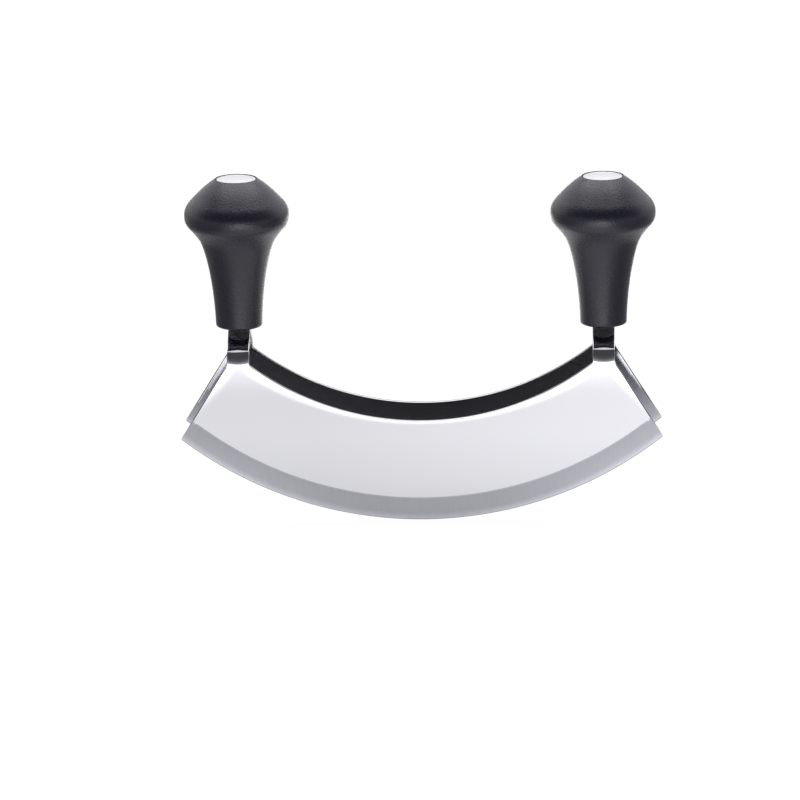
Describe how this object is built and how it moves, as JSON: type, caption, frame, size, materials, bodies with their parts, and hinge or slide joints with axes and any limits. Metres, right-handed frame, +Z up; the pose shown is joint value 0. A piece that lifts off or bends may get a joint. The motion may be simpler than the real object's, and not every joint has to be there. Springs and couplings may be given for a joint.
{
  "type": "mezzaluna",
  "caption": "Double-bladed mezzaluna: curved steel chopping blades side by side, joined at both ends by bent necks under upright black knob handles with steel caps.",
  "frame": {"origin": "on the ground, midway between the lowest points of the front and the rear cutting edge, under the middle of the blades", "axes": "+X along the blades to the right seen from the front, -Y towards the front, +Z up through the handles"},
  "size_m": [0.2, 0.0436, 0.1431],
  "materials": {
    "blade_steel": "polished faces with satin ground bevels",
    "handle_plastic": "fine spark-eroded matt",
    "bush_plastic": "matt",
    "fastener_steel": "bright zinc",
    "cap_steel": "satin"
  },
  "bodies": {
    "root": {"front_blade": "blade_steel", "rear_blade": "blade_steel", "left_handle": "handle_plastic", "right_handle": "handle_plastic", "left_tang_bush": "bush_plastic", "right_tang_bush": "bush_plastic", "left_tang_stud": "fastener_steel", "right_tang_stud": "fastener_steel", "left_stud_rivets": "fastener_steel", "right_stud_rivets": "fastener_steel", "left_washer": "fastener_steel", "right_washer": "fastener_steel", "left_nut": "fastener_steel", "right_nut": "fastener_steel", "left_cap": "cap_steel", "right_cap": "cap_steel"}
  },
  "joints": []
}
